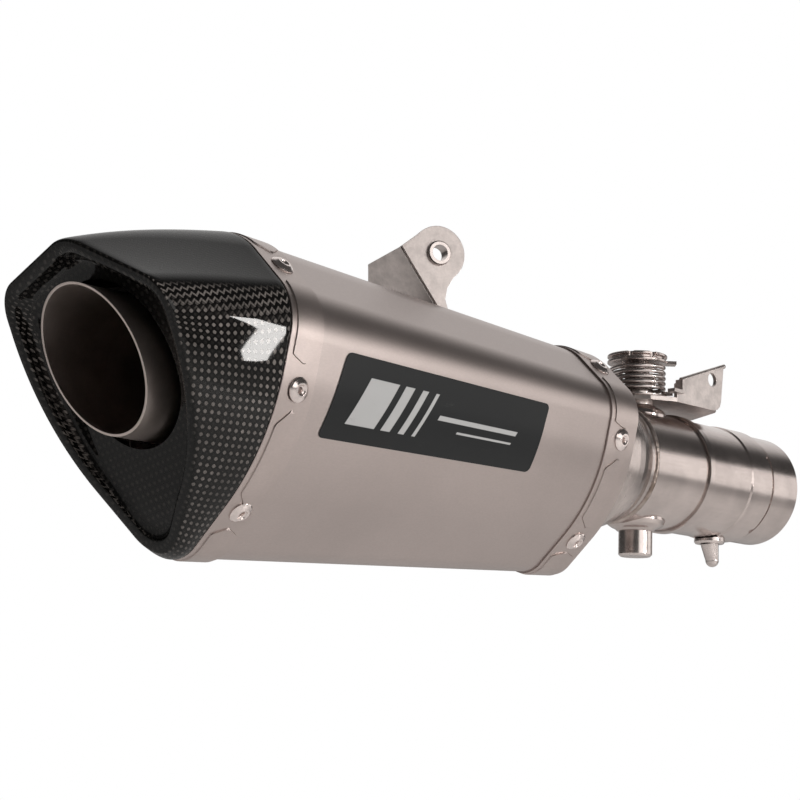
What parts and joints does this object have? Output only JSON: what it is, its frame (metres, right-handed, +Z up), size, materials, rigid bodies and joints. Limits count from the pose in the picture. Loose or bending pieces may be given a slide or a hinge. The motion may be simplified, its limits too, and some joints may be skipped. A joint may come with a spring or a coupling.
{
  "type": "motorcycle exhaust silencer",
  "caption": "Slip-on racing exhaust: tapered shield-section silencer with a carbon end cap, riveted bands, hanger bracket and a spring-return valve in the inlet tube.",
  "frame": {"origin": "centre of the inlet mouth, on the bore axis", "axes": "+X out of the inlet mouth along the tube, the outlet towards -X; +Z up along the valve spindle"},
  "size_m": [0.5265, 0.1184, 0.1902],
  "materials": {
    "carbon": "clear-coated plain-weave carbon fibre",
    "titanium": "satin titanium sheet",
    "titanium_band": "satin titanium strap, formed",
    "titanium_pipe": "brushed titanium tube with a long weld seam",
    "stainless": "drawn stainless tube, lightly polished",
    "stainless_formed": "spun and pressed stainless sheet",
    "weld": "TIG weld, heat tinted",
    "rivet_steel": "bright stainless rivet",
    "bracket_steel": "bead-blasted folded sheet",
    "machined": "turned steel",
    "spring_steel": "drawn spring wire",
    "bearing": "sintered bearing bronze",
    "flap_steel": "stainless plate, heat tinted",
    "core_steel": "perforated stainless tube",
    "fibre": "compressed glass-fibre wool",
    "label_film": "heat-proof foil label"
  },
  "bodies": {
    "silencer": {"end_cap": "carbon", "outlet_pipe": "titanium_pipe", "rear_bulkhead": "stainless_formed", "outer_sleeve": "titanium", "rear_band": "titanium_band", "front_band": "titanium_band", "rear_rivets": "rivet_steel", "front_rivets": "rivet_steel", "perforated_core": "core_steel", "packing": "fibre", "inlet_cap": "stainless_formed", "neck_weld": "weld", "valve_body": "stainless", "mid_weld": "stainless", "inlet_shell": "stainless", "inlet_sleeve": "stainless", "upper_housing": "machined", "lower_housing": "machined", "upper_bush": "bearing", "lower_bush": "bearing", "return_spring": "spring_steel", "spring_seat": "machined", "cable_bracket": "bracket_steel", "sampling_nipple": "machined", "hanger_bracket": "bracket_steel", "hanger_bush": "machined", "hanger_rivets": "rivet_steel", "label": "label_film"},
    "valve_rotor": {"spindle": "machined", "flap": "flap_steel", "flap_screws": "machined", "cable_wheel": "stainless_formed", "wheel_nut": "machined"}
  },
  "joints": [
    {"name": "valve_turn", "type": "hinge", "parent": "silencer", "child": "valve_rotor", "pos_m": [-0.1145, 0, 0], "axis": [0, 0, 1], "range_deg": [0, 80], "stiffness_Nm_per_rad": 0.2, "springref_deg": -114.59}
  ]
}
